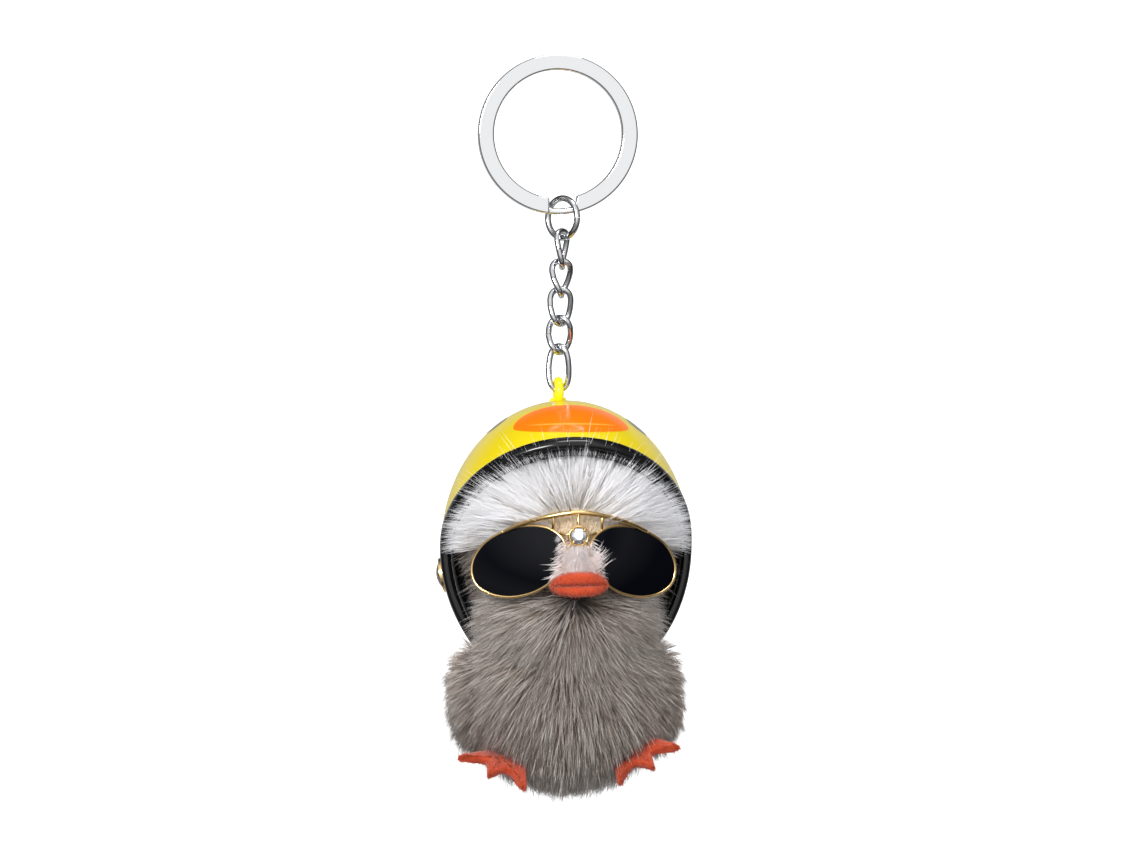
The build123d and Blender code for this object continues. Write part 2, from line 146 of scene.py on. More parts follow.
def felt(name, dark, light):
    """Pressed wool: mottled colour, matt, with a fibre bump."""
    mat = new_material(name, light, 0.95, Sheen_Weight=0.25, Sheen_Roughness=0.4)
    mottle = ramp(mat, noise(mat, 1400, 6, 0.75), ((0.3, dark), (0.7, light)))
    link(mat, mottle, shader_input(mat, "Base Color"))
    bump(mat, noise(mat, 2600, 5, 0.8), 0.8, 0.0002)
    return mat


def fur(name, root, middle, tip, other_tip, roughness=0.5):
    """Strand colour from root to tip, with every strand a little different."""
    mat = new_material(name, middle, roughness, Sheen_Weight=0.15, Sheen_Roughness=0.5)
    data = add_node(mat, "ShaderNodeAttribute", attribute_name="strand")
    split = add_node(mat, "ShaderNodeSeparateColor")
    link(mat, data.outputs["Color"], split.inputs["Color"])
    along = split.outputs["Red"]
    one = ramp(mat, along, ((0.0, root), (0.45, middle), (0.95, tip)))
    two = ramp(mat, along, ((0.0, root), (0.55, middle), (1.0, other_tip)))
    mix = add_node(mat, "ShaderNodeMix", data_type="RGBA")
    link(mat, split.outputs["Green"], mix.inputs["Factor"])
    link(mat, one, mix.inputs[6])
    link(mat, two, mix.inputs[7])
    link(mat, mix.outputs[2], shader_input(mat, "Base Color"))
    return mat


chrome = metal("ring chrome", (0.77, 0.78, 0.79), 0.07)
chain_chrome = metal("chain chrome", (0.62, 0.63, 0.65), 0.12, 0.025)
gold = metal("pale gold", (0.80, 0.55, 0.24), 0.2)
dark_rivet = metal("dark rivet", (0.20, 0.18, 0.14), 0.2)
helmet_paint = glossy("yellow helmet paint", (0.62, 0.49, 0.006), 0.22, 120, 0.03, 0.15, 0.3)
eye_paint = glossy("yellow loop", (0.90, 0.68, 0.006), 0.3, 500, 0.15, 0.3)
trim_rubber = glossy("black trim", (0.003, 0.003, 0.0035), 0.14, 350, 0.1, 0.1, 0.4)
lens_black = glossy("black lens", (0.0015, 0.0018, 0.004), 0.05, 60, 0.01, 0.0, 0.2)
print_orange = glossy("orange print", (1.0, 0.17, 0.002), 0.14, 300, 0.03, 0.15)
print_light = glossy("light orange print", (1.0, 0.30, 0.03), 0.14, 300, 0.03, 0.15)
print_black = glossy("black print", (0.008, 0.008, 0.008), 0.14, 300, 0.03, 0.15)
orange_felt = felt("orange felt", (0.38, 0.032, 0.007), (0.54, 0.066, 0.014))
stuffing = felt("stuffing", (0.7, 0.68, 0.64), (0.85, 0.84, 0.8))
liner_cloth = felt("black liner cloth", (0.004, 0.004, 0.004), (0.014, 0.014, 0.014))
white_skin = felt("white backing", (0.50, 0.46, 0.42), (0.72, 0.68, 0.63))
grey_skin = felt("grey backing", (0.07, 0.055, 0.045), (0.16, 0.13, 0.11))
beige_skin = felt("beige backing", (0.80, 0.58, 0.36), (0.93, 0.78, 0.58))
white_fur = fur("white fur", (0.50, 0.43, 0.36), (0.86, 0.83, 0.80), (0.97, 0.97, 0.99), (0.82, 0.84, 0.93))
grey_fur = fur(
    "grey fur", (0.030, 0.021, 0.016), (0.255, 0.195, 0.155), (0.90, 0.84, 0.79), (0.26, 0.198, 0.16)
)
pale_fur = fur(
    "pale guard fur", (0.16, 0.12, 0.10), (0.50, 0.45, 0.41), (0.95, 0.92, 0.89), (0.80, 0.75, 0.70)
)
nose_fur = fur("nose fur", (0.72, 0.52, 0.44), (0.88, 0.76, 0.72), (0.97, 0.93, 0.93), (0.93, 0.86, 0.86))
beige_fur = fur("beige fur", (0.78, 0.56, 0.34), (0.90, 0.74, 0.52), (0.97, 0.90, 0.76), (0.93, 0.80, 0.60))
orange_fuzz = fur(
    "orange fuzz", (0.42, 0.04, 0.01), (0.60, 0.08, 0.02), (0.80, 0.20, 0.08), (0.66, 0.12, 0.04)
)
stone_glass = new_material("rhinestone", (0.93, 0.95, 1.0), 0.02, 0.85, Coat_Weight=1.0)
bump(stone_glass, noise(stone_glass, 900, 1), 0.05, 0.0001)


# ---------------------------------------------------------------- meshes
def make_piece(name, points, faces, mat, smooth=True, body="duck"):
    """A mesh piece from millimetre points, riding on a body."""
    mesh = bpy.data.meshes.new(name)
    mesh.from_pydata((np.asarray(points) * MM).tolist(), [], [tuple(face) for face in faces])
    mesh.update()
    if smooth:
        mesh.polygons.foreach_set("use_smooth", np.ones(len(mesh.polygons), dtype=bool))
    mesh.materials.append(mat)
    piece = bpy.data.objects.new(name, mesh)
    bpy.context.scene.collection.objects.link(piece)
    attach(piece, body)
    return piece


def grid_faces(rows, columns, close_rows=False, close_columns=False):
    """Quads over a grid of points stored row by row."""
    faces = []
    for i in range(rows if close_rows else rows - 1):
        for j in range(columns if close_columns else columns - 1):
            below = (i + 1) % rows
            beside = (j + 1) % columns
            here, under = i * columns, below * columns
            faces.append((here + j, here + beside, under + beside, under + j))
    return faces


def catmull_rom(p0, p1, p2, p3, t):
    """The smooth curve between p1 and p2, at a share t of the way."""
    return 0.5 * (
        2 * p1 + (p2 - p0) * t + (2 * p0 - 5 * p1 + 4 * p2 - p3) * t**2
        + (3 * p1 - p0 - 3 * p2 + p3) * t**3
    )


def unit(vectors):
    """Rows scaled to length one."""
    size = np.linalg.norm(vectors, axis=-1, keepdims=True)
    return vectors / np.maximum(size, 1e-9)


def tube(name, path, radius, mat, closed=False, sides=12, up=(0, 0, 1)):
    """Round wire along a list of points; radius is one number or one for each point."""
    path = np.asarray(path, dtype=float)
    count = len(path)
    if closed:
        along = unit(np.roll(path, -1, 0) - np.roll(path, 1, 0))
    else:
        along = unit(np.gradient(path, axis=0))
    across = unit(np.cross(along, np.asarray(up, dtype=float)))
    over = np.cross(across, along)
    radius = np.broadcast_to(np.asarray(radius, dtype=float), (count,))
    turns = np.linspace(0, 2 * pi, sides, endpoint=False)
    ring = across[:, None] * np.cos(turns)[None, :, None] + over[:, None] * np.sin(turns)[None, :, None]
    points = (path[:, None] + ring * radius[:, None, None]).reshape(-1, 3)
    faces = grid_faces(count, sides, close_rows=closed, close_columns=True)
    if not closed:
        faces.append(tuple(range(sides)))
        faces.append(tuple(reversed(range((count - 1) * sides, count * sides))))
    return make_piece(name, points + DUCK, faces, mat)


def ball(name, middle, half, mat, rows=48, columns=72, lump=0.0, seed=1):
    """A closed ball with half sizes, gently lumpy."""
    rng = np.random.default_rng(seed)
    lat = np.linspace(-pi / 2, pi / 2, rows)
    lon = np.linspace(0, 2 * pi, columns, endpoint=False)
    shape = np.stack(
        (
            np.cos(lat)[:, None] * np.cos(lon)[None, :],
            np.cos(lat)[:, None] * np.sin(lon)[None, :],
            np.repeat(np.sin(lat)[:, None], columns, 1),
        ),
        -1,
    )
    swell = np.ones((rows, columns))
    for _ in range(6):
        wave = rng.normal(size=3) * 3
        swell += lump * np.sin(shape @ wave + rng.uniform(0, 2 * pi)) / 6
    points = (shape * swell[..., None] * np.asarray(half) + np.asarray(middle)).reshape(-1, 3)
    return make_piece(name, points + DUCK, grid_faces(rows, columns, close_columns=True), mat)


# ---------------------------------------------------------------- fur strands
RINGS = np.array((0.0, 0.35, 0.72))
SIDES = 3


def tangent(normals, aims):
    """The part of each aim that lies along the skin."""
    flat = aims - np.sum(aims * normals, 1, keepdims=True) * normals
    return unit(flat)


def nearest(points, centres):
    """Index of the nearest centre for each point, in blocks to keep memory low."""
    found = np.empty(len(points), dtype=int)
    for start in range(0, len(points), 2000):
        block = points[start : start + 2000]
        gap = ((block[:, None] - centres[None]) ** 2).sum(-1)
        found[start : start + 2000] = gap.argmin(1)
    return found


def strands(
    name, roots, normals, aims, length, width, mat, seed,
    lift=(30, 65), clump=0.45, wild=0.1, keep=None,
):
    """Fur: closed, tapered, bent strands, gathered into tufts.

    lift is the lean away from the skin's normal in degrees, at the root and at the tip.
    keep, if given, moves points that would enter a neighbour.
    """
    rng = np.random.default_rng(seed)
    count = len(roots)
    lays = tangent(normals, aims)
    sizes = length * rng.uniform(0.72, 1.12, count)
    lean = np.radians(rng.normal(0, 7, count))
    steps = np.append(RINGS, 1.0)
    centre = np.zeros((count, len(steps), 3))
    centre[:, 0] = roots
    for j in range(1, len(steps)):
        middle = (steps[j] + steps[j - 1]) / 2
        angle = np.radians(lift[0] + (lift[1] - lift[0]) * middle**0.7) + lean
        heading = normals * np.cos(angle)[:, None] + lays * np.sin(angle)[:, None]
        centre[:, j] = centre[:, j - 1] + heading * (sizes * (steps[j] - steps[j - 1]))[:, None]
    stray = rng.normal(0, 1, (count, 3)) * (sizes * wild)[:, None]
    centre += stray[:, None] * (steps**1.6)[None, :, None]
    leaders = rng.choice(count, max(8, count // 14), replace=False)
    follow = leaders[nearest(roots, roots[leaders])]
    pull = clump * rng.uniform(0.4, 1.3, count)
    centre += (centre[follow] - centre) * pull[:, None, None] * (steps**1.3)[None, :, None]
    if keep is not None:
        centre = keep(centre)
    along = unit(centre[:, -1] - centre[:, 0])
    across = unit(np.cross(along, np.array((0.31, 0.52, 0.79))))
    over = np.cross(across, along)
    widths = width * rng.uniform(0.6, 1.25, count)
    taper = np.array((0.7, 1.0, 0.7))
    turns = np.arange(SIDES) * 2 * pi / SIDES
    ring = across[:, None, None] * np.cos(turns)[None, None, :, None]
    ring = ring + over[:, None, None] * np.sin(turns)[None, None, :, None]
    radius = widths[:, None] * taper[None] / 2
    body_points = centre[:, :-1, None] + ring * radius[..., None, None]
    points = np.concatenate((body_points.reshape(count, -1, 3), centre[:, -1:]), 1)
    per = len(RINGS) * SIDES + 1
    tris = [(0, 2, 1)]
    for j in range(len(RINGS) - 1):
        for k in range(SIDES):
            a = j * SIDES + k
            b = j * SIDES + (k + 1) % SIDES
            tris += [(a, b, b + SIDES), (a, b + SIDES, a + SIDES)]
    for k in range(SIDES):
        tris.append(((len(RINGS) - 1) * SIDES + k, (len(RINGS) - 1) * SIDES + (k + 1) % SIDES, per - 1))
    tris = np.array(tris)
    faces = (tris[None] + (np.arange(count) * per)[:, None, None]).reshape(-1, 3)
    mesh = bpy.data.meshes.new(name)
    flat = ((points.reshape(-1, 3) + DUCK) * MM).astype(np.float32)
    mesh.vertices.add(len(flat))
    mesh.vertices.foreach_set("co", flat.ravel())
    mesh.loops.add(faces.size)
    mesh.loops.foreach_set("vertex_index", faces.ravel().astype(np.int32))
    mesh.polygons.add(len(faces))
    mesh.polygons.foreach_set("loop_start", np.arange(0, faces.size, 3, dtype=np.int32))
    mesh.polygons.foreach_set("use_smooth", np.ones(len(faces), dtype=bool))
    mesh.update(calc_edges=True)
    along_value = np.append(np.repeat(RINGS, SIDES), 1.0)
    tints = rng.uniform(0, 1, count) ** 0.8
    data = np.ones((count, per, 4), dtype=np.float32)
    data[..., 0] = along_value[None]
    data[..., 1] = tints[:, None]
    data[..., 2] = rng.uniform(0, 1, count)[:, None]
    layer = mesh.color_attributes.new("strand", "FLOAT_COLOR", "POINT")
    layer.data.foreach_set("color", data.ravel())
    side_value = np.append(np.tile(np.arange(SIDES) / SIDES, len(RINGS)), 0.4)
    cells = int(np.ceil(np.sqrt(count)))
    cell = np.stack((np.arange(count) % cells, np.arange(count) // cells), -1)
    inside = np.stack((0.15 + 0.7 * side_value, 0.15 + 0.7 * along_value), -1)
    places = (cell[:, None] + inside[None]) / cells
    uv = mesh.uv_layers.new(name="OFBake")
    uv.data.foreach_set("uv", places.reshape(-1, 2)[faces.ravel()].astype(np.float32).ravel())
    mesh.materials.append(mat)
    piece = bpy.data.objects.new(name, mesh)
    bpy.context.scene.collection.objects.link(piece)
    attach(piece, "duck")
    return piece


# ---------------------------------------------------------------- helmet edge
EDGE_Y = 0.5
BROW = np.array((-32.0, 33.0))
EAR = np.array((0.5, 2.1))
CHEEK = np.array((0.5, -19.5))
NAPE = np.array((32.0, -14.0))
TRIM_HALF = np.array((22.5, 26.4, 26.4))
LIP_HALF = np.array((21.5, 25.4, 25.4))


def rounded_corner(before, corner, after, radius, steps=14):
    """Points of the arc that rounds one corner of a side view."""
    into = (before - corner) / np.linalg.norm(before - corner)
    out = (after - corner) / np.linalg.norm(after - corner)
    half = np.arccos(np.clip(into @ out, -1, 1)) / 2
    reach = radius / np.tan(half)
    middle = corner + (into + out) / np.linalg.norm(into + out) * radius / np.sin(half)
    start = corner + into * reach - middle
    end = corner + out * reach - middle
    first = np.arctan2(start[1], start[0])
    swing = (np.arctan2(end[1], end[0]) - first + pi) % (2 * pi) - pi
    turns = first + swing * np.linspace(0, 1, steps)
    return middle + radius * np.stack((np.cos(turns), np.sin(turns)), -1)


def edge_side_view(spacing=0.25):
    """The helmet's edge seen from the side, at an even spacing, brow to nape."""
    corners = np.concatenate(
        (
            BROW[None],
            rounded_corner(BROW, EAR, CHEEK, 10.0),
            rounded_corner(EAR, CHEEK, NAPE, 5.0),
            NAPE[None],
        )
    )
    run = np.append(0, np.cumsum(np.linalg.norm(np.diff(corners, axis=0), axis=1)))
    places = np.arange(0, run[-1], spacing)
    return np.stack((np.interp(places, run, corners[:, 0]), np.interp(places, run, corners[:, 1])), -1)


def edge_loop(half_x, half_r, steps=150):
    """The edge as a closed loop of evenly spaced points on a helmet-shaped ball."""
    side = edge_side_view(0.05)
    inside = np.hypot(side[:, 0], side[:, 1]) < half_r
    side = side[inside]
    run = np.linspace(0, len(side) - 1, 4000)
    y = np.interp(run, np.arange(len(side)), side[:, 0])
    z = np.interp(run, np.arange(len(side)), side[:, 1])
    x = half_x * np.sqrt(np.maximum(0, 1 - (y**2 + z**2) / half_r**2))
    x[0] = x[-1] = 0
    half_loop = np.stack((x, y, z), -1)
    loop = np.concatenate((half_loop, half_loop[-2:0:-1] * (-1, 1, 1)))
    far = np.append(0, np.cumsum(np.linalg.norm(np.diff(np.concatenate((loop, loop[:1])), axis=0), axis=1)))
    places = np.linspace(0, far[-1], 2 * steps, endpoint=False)
    wrapped = np.concatenate((loop, loop[:1]))
    return np.stack([np.interp(places, far, wrapped[:, axis]) for axis in range(3)], -1)


def helmet_trim():
    """Rolled rubber trim: an oval bead on the shell's edge, following it all the way round."""
    middle = edge_loop(*TRIM_HALF[:2])
    along = unit(np.roll(middle, -1, 0) - np.roll(middle, 1, 0))
    out = unit(middle / TRIM_HALF**2)
    back = unit(np.cross(along, out))
    turns = np.linspace(0, 2 * pi, 28, endpoint=False)
    square = 2 / 2.5
    lap = 0.72 + 1.3 * np.sign(np.cos(turns)) * np.abs(np.cos(turns)) ** square
    high = 1.12 * np.sign(np.sin(turns)) * np.abs(np.sin(turns)) ** square
    inward = back[:, None] * lap[None, :, None]
    points = middle[:, None] + inward + out[:, None] * high[None, :, None]
    faces = grid_faces(len(middle), len(turns), close_rows=True, close_columns=True)
    piece = make_piece("edge_trim_bead", points.reshape(-1, 3) + DUCK, faces, trim_rubber)
    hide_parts("edge_trim")


def trim_lip():
    """The flat inner lip of the trim, which hides the shell's inner face up to the liner."""
    middle = edge_loop(*LIP_HALF[:2])
    along = unit(np.roll(middle, -1, 0) - np.roll(middle, 1, 0))
    out = unit(middle / LIP_HALF**2)
    back = unit(np.cross(along, out))
    section = ((0.6, 0.15), (1.8, 0.12), (2.9, -0.03), (2.9, -0.25), (1.8, -0.1), (0.6, -0.1))
    points = np.stack([middle + back * deep + out * high for deep, high in section], 1)
    faces = grid_faces(len(middle), len(section), close_rows=True, close_columns=True)
    make_piece("edge_trim_inner_lip", points.reshape(-1, 3) + DUCK, faces, liner_cloth)


helmet_trim()
trim_lip()


PRINT_LIFT = 0.05
LINE_LIFT = 0.08


def on_shell(x, z, lift):
    """A point on the front of the helmet at a place in the front view."""
    reach = (SHELL[1] + lift) * np.sqrt(np.maximum(0, 1 - (x / (SHELL[0] + lift)) ** 2))
    return np.stack((x, -np.sqrt(np.maximum(0, reach**2 - z**2)), z + 0 * x), -1)


def printed_bill():
    """The printed bill on the front of the helmet, with its lighter mouth line."""
    half_wide = 10.75
    u = np.sin(np.linspace(-pi / 2, pi / 2, 72))
    x = half_wide * u
    ends = np.sqrt(np.maximum(0, 1 - u**2))
    low = 21.9 - 0.75 * ends**0.5
    high = 21.9 + 4.3 * ends**1.3
    rows = np.linspace(0, 1, 20)[:, None]
    z = low[None] * (1 - rows) + high[None] * rows
    points = on_shell(np.broadcast_to(x, z.shape), z, PRINT_LIFT).reshape(-1, 3)
    make_piece("printed_bill", points + DUCK, grid_faces(20, 72), print_orange)
    x = 8.6 * u
    line = 22.35 + 0.35 * (1 - u**2)
    rows = np.linspace(-0.16, 0.16, 4)[:, None] * (1 - u**4)[None]
    z = line[None] + rows
    points = on_shell(np.broadcast_to(x, z.shape), z, LINE_LIFT).reshape(-1, 3)
    make_piece("printed_bill_line", points + DUCK, grid_faces(4, 72), print_light)


def printed_eye(name, side):
    """One round printed eye near the crown."""
    tilt = radians(85 - 5 * side)
    x0 = side * 12.9
    rings = np.linspace(0, 1, 8)[:, None]
    turns = np.linspace(0, 2 * pi, 40, endpoint=False)[None]
    x = x0 + 1.9 * rings * np.cos(turns)
    angle = tilt + 0.115 * rings * np.sin(turns)
    reach = (SHELL[1] + PRINT_LIFT) * np.sqrt(1 - (x / (SHELL[0] + PRINT_LIFT)) ** 2)
    points = np.stack((x, -reach * np.cos(angle), reach * np.sin(angle)), -1).reshape(-1, 3)
    make_piece(name, points + DUCK, grid_faces(8, 40, close_columns=True), print_black)


printed_bill()
printed_eye("printed_eye_left", 1)
printed_eye("printed_eye_right", -1)

# ---------------------------------------------------------------- plush skins
HEAD_SKIN = np.array((16.2, 18.6, 18.4))
BODY_MIDDLE = np.array((0.0, 0.0, -27.0))
BODY_SKIN = np.array((15.4, 15.4, 14.6))
head_skin = ball("head_skin", (0, 0, 0), HEAD_SKIN, white_skin, lump=0.03, seed=3)
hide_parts("head_plush")
head_skin.data.materials.append(liner_cloth)
skin_line = (DUCK[2] + 1.0) * MM
for face in head_skin.data.polygons:
    face.material_index = int(face.center.z < skin_line)
body_skin = ball("body_skin", BODY_MIDDLE, BODY_SKIN, grey_skin, lump=0.04, seed=5)
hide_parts("body_plush")
CHIN_MIDDLE = np.array((0.0, -1.5, -14.5))
CHIN_SKIN = np.array((12.6, 15.6, 11.5))
chin_skin = ball("chin_skin", CHIN_MIDDLE, CHIN_SKIN, grey_skin, lump=0.03, seed=7)
WING_HALF = np.array((3.2, 7.2, 7.8))
WING_X, WING_Y, WING_Z = 15.8, 1.0, -28.3
for wing_name, side in (("left", 1), ("right", -1)):
    wing_middle = (side * WING_X, WING_Y, WING_Z)
    wing_skin = ball(f"wing_skin_{wing_name}", wing_middle, WING_HALF, grey_skin)
    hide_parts(f"wing_{wing_name}")

# ---------------------------------------------------------------- fur
BEAK = np.array((0.0, -24.0, -8.0))
FACE = np.array((0.0, -21.0, 2.5))
SHELL_ROOM = np.array((21.2, 25.1, 25.1))
BRIDGE = 2.1
GLASSES_Y = -24.0
GLASSES_Z = -2.7
WRAP = radians(28)


def head_front(x, z):
    """How far forward the head's skin stands at a place in the front view."""
    return -HEAD_SKIN[1] * np.sqrt(1 - (x / HEAD_SKIN[0]) ** 2 - (z / HEAD_SKIN[2]) ** 2)


def behind_edge(points):
    """True where a point is on the helmet's side of its edge."""
    y = points[..., 1]
    z = points[..., 2]
    brow_line = EAR[1] + (BROW[1] - EAR[1]) * (y - EAR[0]) / (BROW[0] - EAR[0])
    upper = (z > EAR[1]) & (z > brow_line)
    lower = (z <= EAR[1]) & (y > EDGE_Y - 0.4)
    nape_line = CHEEK[1] + (NAPE[1] - CHEEK[1]) * (y - CHEEK[0]) / (NAPE[0] - CHEEK[0])
    return (upper | lower) & (z > nape_line - 0.4)


def keep_out_of_helmet(centre):
    """Strands stay under the helmet, or outside it if they start outside."""
    size = np.linalg.norm(centre / SHELL_ROOM, axis=-1)
    rooted_outside = (size[:, :1] > 1.05) | (centre[:, :1, 2] < -18)
    inside_zone = behind_edge(centre)
    press = inside_zone & (size > 0.97) & ~rooted_outside
    lift = inside_zone & (size > 0.9) & (size < 1.13) & rooted_outside
    scale = np.ones_like(size)
    scale[press] = 0.97 / size[press]
    scale[lift] = 1.13 / size[lift]
    return centre * scale[..., None]


def keep_behind_lenses(centre):
    """Strands are pressed back where a lens stands in front of them."""
    for side in (-1, 1):
        x = side * centre[..., 0] - BRIDGE
        y = centre[..., 1] - GLASSES_Y
        out = x * cos(WRAP) + y * sin(WRAP)
        ahead = x * sin(WRAP) - y * cos(WRAP)
        up = centre[..., 2] - GLASSES_Z
        covered = (np.abs((out - 9.5) / 10.4) ** 2.4 + np.abs(up / 7.6) ** 2.4 < 1) & (ahead > -1.0)
        back = np.where(covered, -1.0 - ahead, 0.0)[..., None]
        centre = centre + back * np.array((side * sin(WRAP), -cos(WRAP), 0.0))
    return centre


def keep_clear(centre):
    """Fur that gives way to the helmet and the sunglasses."""
    return keep_behind_lenses(keep_out_of_helmet(centre))


def ball_roots(count, middle, half, seed, chosen):
    """Roots and normals spread over a ball, where chosen says so."""
    rng = np.random.default_rng(seed)
    found = []
    total = 0
    while total < count:
        ray = unit(rng.normal(size=(count, 3)))
        stretch = np.linalg.norm(ray / half, axis=1) * half.min()
        ray = ray[rng.uniform(0, 1, count) < stretch]
        point = ray * half + middle
        point = point[chosen(point)]
        found.append(point)
        total += len(point)
    roots = np.concatenate(found)[:count]
    return roots, unit((roots - middle) / half**2)


def body_fur():
    """Grey fur that streams out from under the beak, down the front and round the back."""

    def in_sight(point):
        return point[:, 2] < np.where(point[:, 1] < 3, -13.0, -15.5)

    for part in range(5):
        roots, normals = ball_roots(6300, BODY_MIDDLE, BODY_SKIN, 20 + part, in_sight)
        front = np.clip(-roots[:, 1:2] / 12, 0, 1)
        away = unit(roots - BEAK - np.array((0, 0, 2.0)))
        aims = away * (0.35 + 0.65 * front) + np.array((0, 0, -0.85)) * (1.15 - 0.55 * front)
        strands(
            f"body_fur_{part + 1}", roots, normals, aims, 8.2, 0.115, grey_fur, 40 + part,
            lift=(36, 76), clump=0.5, wild=0.07, keep=keep_clear,
        )


def guard_fur():
    """Sparse, pale, fine hairs that stand over the grey fur."""

    def front(point):
        return (point[:, 2] < -13.0) & (point[:, 1] < 16)

    def chin_front(point):
        return (point[:, 1] < 0) & (point[:, 2] < -9.5) & (point[:, 2] > -23)

    roots, normals = ball_roots(5200, BODY_MIDDLE, BODY_SKIN, 30, front)
    chin_roots, chin_normals = ball_roots(2400, CHIN_MIDDLE, CHIN_SKIN, 31, chin_front)
    roots = np.concatenate((roots, chin_roots))
    normals = np.concatenate((normals, chin_normals))
    aims = unit(roots - BEAK - np.array((0, 0, 1.0))) + np.array((0, 0, -0.5))
    strands(
        "guard_fur", roots, normals, aims, 9.2, 0.10, pale_fur, 32,
        lift=(32, 72), clump=0.15, wild=0.06, keep=keep_clear,
    )


def chin_fur():
    """Grey fur on the cheeks and chin, below the sunglasses."""

    def chin(point):
        top = -7.6 - 0.1 * np.abs(point[:, 0])
        return (point[:, 1] < 2) & (point[:, 2] < top) & (point[:, 2] > -23.0)

    for part in range(2):
        roots, normals = ball_roots(7400, CHIN_MIDDLE, CHIN_SKIN, 60 + part, chin)
        aims = unit(roots - BEAK + np.array((0, 0, 1.0))) + np.array((0, 0, -0.35))
        strands(
            f"chin_fur_{part + 1}", roots, normals, aims, 8.4, 0.12, grey_fur, 70 + part,
            lift=(30, 74), clump=0.45, wild=0.07, keep=keep_clear,
        )


def wing_fur():
    """Fuller tufts over the wings, swept down and out."""
    for wing_name, side in (("left", 1), ("right", -1)):
        middle = np.array((side * WING_X, WING_Y, WING_Z))
        roots, normals = ball_roots(
            3800, middle, WING_HALF, 80 + side, lambda point: side * point[:, 0] > 13.5
        )
        aims = unit(roots - BEAK - np.array((0, 6, 2.0))) + np.array((0, 0.2, -0.5))
        strands(
            f"wing_fur_{wing_name}", roots, normals, aims, 6.2, 0.125, grey_fur, 90 + side,
            lift=(34, 74), clump=0.6, wild=0.07, keep=keep_clear,
        )


def head_fur():
    """White fur of the forehead and temples, fanned out from the brow bar."""

    def forehead(point):
        low = 4.6 - 0.24 * np.abs(point[:, 0]) + 1.5 * np.sin(9.1 * point[:, 0] + 7.3 * point[:, 1])
        return (point[:, 1] < 4 - 0.45 * point[:, 2]) & (point[:, 2] > low) & (point[:, 1] < 1.5)

    for part in range(3):
        roots, normals = ball_roots(7000, np.zeros(3), HEAD_SKIN, 100 + part, forehead)
        aims = unit(roots - FACE) * (1, 0.6, 1)
        strands(
            f"head_fur_{part + 1}", roots, normals, aims, 9.6, 0.11, white_fur, 110 + part,
            lift=(15, 60), clump=0.45, wild=0.08, keep=keep_clear,
        )


def wisps():
    """A few long white hairs that cross the trim."""
    rng = np.random.default_rng(170)
    count = 260
    turn = rng.uniform(-0.15, pi + 0.15, count)
    x = 13.6 * np.cos(turn)
    z = 2.0 + 11.0 * np.sin(turn)
    y = head_front(x, z)
    roots = np.stack((x, y, z), -1)
    normals = unit(np.stack((x * 0.02, -np.ones(count), z * 0.02), -1))
    aims = np.stack((np.cos(turn), np.zeros(count), np.sin(turn)), -1)
    strands(
        "white_wisps", roots, normals, aims, 10.5, 0.075, white_fur, 171,
        lift=(14, 62), clump=0.1, wild=0.13,
    )


def temple_fur():
    """Sparse fur beside the lenses, which lets the dark liner show."""

    def temple(point):
        level = (point[:, 2] > -9) & (point[:, 2] < 3)
        return (point[:, 1] < 0) & level & (np.abs(point[:, 0]) > 12)

    roots, normals = ball_roots(520, np.zeros(3), HEAD_SKIN, 120, temple)
    aims = unit(roots - FACE) * (1.5, 0.3, 0.6) + np.array((0, 0, -0.2))
    strands(
        "temple_fur", roots, normals, aims, 7.0, 0.12, grey_fur, 121,
        lift=(20, 70), clump=0.3, wild=0.1, keep=keep_clear,
    )


def nose_fur_tuft():
    """Pinkish tuft between the lenses, with a few long whiskers over them."""
    rng = np.random.default_rng(130)
    count = 3600
    high = rng.uniform(0, 1, count)
    x = np.clip(rng.normal(0, 1, count), -2, 2) * (0.75 + 0.6 * (1 - high))
    z = -6.0 + 7.8 * high
    roots = np.stack((x, -20.8 - 1.2 * np.cos(x / 2.2), z), -1)
    normals = unit(np.stack((x * 0.18, -np.ones(count), np.zeros(count)), -1))
    aims = np.stack((x * 0.22, np.zeros(count), -0.6 + 0.3 * high), -1)
    strands(
        "nose_fur", roots, normals, aims, 4.6, 0.13, nose_fur, 131,
        lift=(6, 52), clump=0.4, wild=0.1,
    )
    whiskers = 70
    side = np.where(rng.uniform(0, 1, whiskers) < 0.5, -1, 1)
    start = rng.uniform(0.8, 2.6, whiskers)
    roots = np.stack((side * start, np.full(whiskers, -22.6), rng.uniform(-6, -2.5, whiskers)), -1)
    normals = np.tile((0.0, -1.0, 0.0), (whiskers, 1))
    rise = np.where(side > 0, 1.1, 0.0) + rng.uniform(-0.4, 0.4, whiskers)
    aims = np.stack((side * 1.0, np.zeros(whiskers), rise), -1)
    strands(
        "nose_whiskers", roots, normals, aims, 6.5, 0.13, nose_fur, 132,
        lift=(10, 72), clump=0.2, wild=0.12,
    )


def brow_fur():
    """Short beige pile behind the brow bar and the stone."""
    rng = np.random.default_rng(140)
    count = 2600
    x = rng.uniform(-8.5, 8.5, count)
    z = rng.uniform(0.0, 6.2, count) - 0.02 * x**2
    y = head_front(x, z)
    roots = np.stack((x, y - 3.0 + 0.02 * x**2, z), -1)
    normals = unit(roots / HEAD_SKIN**2)
    aims = np.stack((x * 0.1, np.zeros(count), np.ones(count)), -1)
    strands(
        "brow_fur", roots, normals, aims, 1.6, 0.14, beige_fur, 141,
        lift=(25, 70), clump=0.3, wild=0.1,
    )


